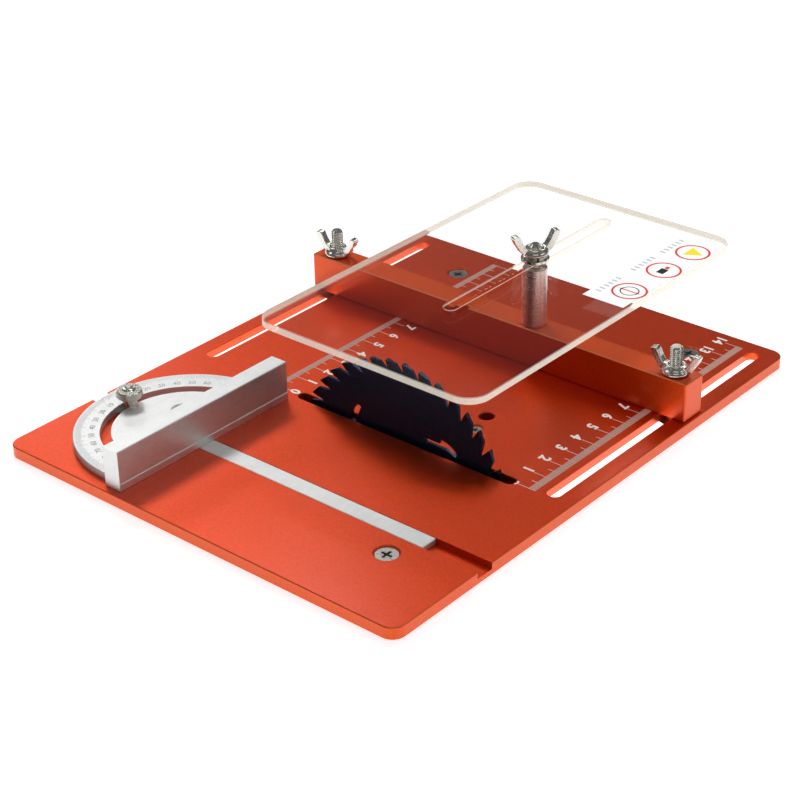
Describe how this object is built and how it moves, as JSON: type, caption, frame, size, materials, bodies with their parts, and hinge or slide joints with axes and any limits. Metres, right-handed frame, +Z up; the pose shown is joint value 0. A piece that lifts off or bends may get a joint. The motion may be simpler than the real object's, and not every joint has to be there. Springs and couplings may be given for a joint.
{
  "type": "router table",
  "caption": "Bench insert plate with circular saw blade on an arbor, sliding rip fence, clear guard on a post and a miter gauge in a groove; cuts small workpieces.",
  "frame": {"origin": "middle of the four corner screws, on the plate's underside", "axes": "+X feed direction along the miter groove and the blade, +Y from the blade towards the rip fence, +Z up through the table top"},
  "size_m": [0.1924, 0.244, 0.1267],
  "materials": {
    "red": "satin anodised orange-red",
    "plated_screw": "zinc plated",
    "housing": "black anodised, bead blasted",
    "cover": "turned, natural",
    "bearing_steel": "ground bearing steel",
    "ground_steel": "ground",
    "black_steel": "black oxide",
    "blade": "gloss near-black blue coating",
    "carbide": "ground carbide with braze",
    "zinc": "bright zinc plate",
    "post_steel": "turned steel",
    "acrylic": "clear, polished edges",
    "label": "printed film",
    "satin_aluminium": "satin natural anodised",
    "nickel": "nickel plated, knurled rim"
  },
  "bodies": {
    "table": {"table_plate": "red", "corner_screws": "plated_screw", "housing_screws": "plated_screw", "arbor_housing": "housing", "bearing_outer_rings": "bearing_steel", "bearing_cover": "cover", "cover_screws": "plated_screw"},
    "bearing_cage": {"bearing_balls": "bearing_steel"},
    "arbor": {"bearing_inner_rings": "bearing_steel", "bearing_spacer": "bearing_steel", "arbor_shaft": "ground_steel", "retaining_ring": "black_steel", "inner_flange": "black_steel", "saw_blade": "blade", "carbide_tips": "carbide", "outer_flange": "black_steel", "arbor_nut": "zinc"},
    "rip_fence": {"fence_bar": "red", "fence_bolt_left": "zinc", "fence_bolt_right": "zinc", "fence_washers": "zinc", "guard_post": "post_steel", "guard_stud": "zinc"},
    "nut_left": {"fence_nut_left": "zinc"},
    "nut_right": {"fence_nut_right": "zinc"},
    "guard_pivot": {"guard_washer": "zinc", "spring_washer": "black_steel"},
    "guard": {"guard_plate": "acrylic", "guard_label": "label"},
    "nut_guard": {"guard_nut": "zinc"},
    "miter_slider": {"miter_bar": "satin_aluminium", "pivot_screw": "nickel"},
    "miter_head": {"protractor_head": "satin_aluminium", "miter_fence": "satin_aluminium", "miter_fence_screws": "plated_screw"},
    "clamp_knob": {"lock_knob": "nickel"}
  },
  "joints": [
    {"name": "blade_spin", "type": "hinge", "parent": "table", "child": "arbor", "pos_m": [0.0132, -0.0302, -0.0148], "axis": [0, -1, 0], "continuous": true},
    {"name": "cage_spin", "type": "hinge", "parent": "table", "child": "bearing_cage", "pos_m": [0.0132, -0.0137, -0.0148], "axis": [0, -1, 0], "continuous": true},
    {"name": "fence_slide", "type": "slide", "parent": "table", "child": "rip_fence", "axis": [0, 1, 0], "range_m": [-0.07, 0.057]},
    {"name": "left_nut_turn", "type": "hinge", "parent": "rip_fence", "child": "nut_left", "pos_m": [-0.0905, 0.0498, 0.0214], "axis": [0, 0, 1], "range_deg": [0, 450]},
    {"name": "right_nut_turn", "type": "hinge", "parent": "rip_fence", "child": "nut_right", "pos_m": [0.0815, 0.0498, 0.0214], "axis": [0, 0, 1], "range_deg": [0, 450]},
    {"name": "guard_swivel", "type": "hinge", "parent": "rip_fence", "child": "guard_pivot", "pos_m": [0.0145, 0.0498, 0.04645], "axis": [0, 0, 1], "continuous": true},
    {"name": "guard_slide", "type": "slide", "parent": "guard_pivot", "child": "guard", "axis": [0, 1, 0], "range_m": [-0.046, 0.052]},
    {"name": "guard_nut_turn", "type": "hinge", "parent": "rip_fence", "child": "nut_guard", "pos_m": [0.0145, 0.0498, 0.05175], "axis": [0, 0, 1], "range_deg": [0, 450]},
    {"name": "miter_slide", "type": "slide", "parent": "table", "child": "miter_slider", "axis": [1, 0, 0], "range_m": [-0.03, 0.13]},
    {"name": "miter_swing", "type": "hinge", "parent": "miter_slider", "child": "miter_head", "pos_m": [-0.0533, -0.0802, 0.005], "axis": [0, 0, 1], "range_deg": [-60, 60]},
    {"name": "knob_turn", "type": "hinge", "parent": "miter_slider", "child": "clamp_knob", "pos_m": [-0.0827, -0.0802, 0.005], "axis": [0, 0, 1], "range_deg": [0, 450]}
  ],
  "couplings": [
    {"joint": "cage_spin", "follows": "blade_spin", "ratio": 0.368}
  ]
}
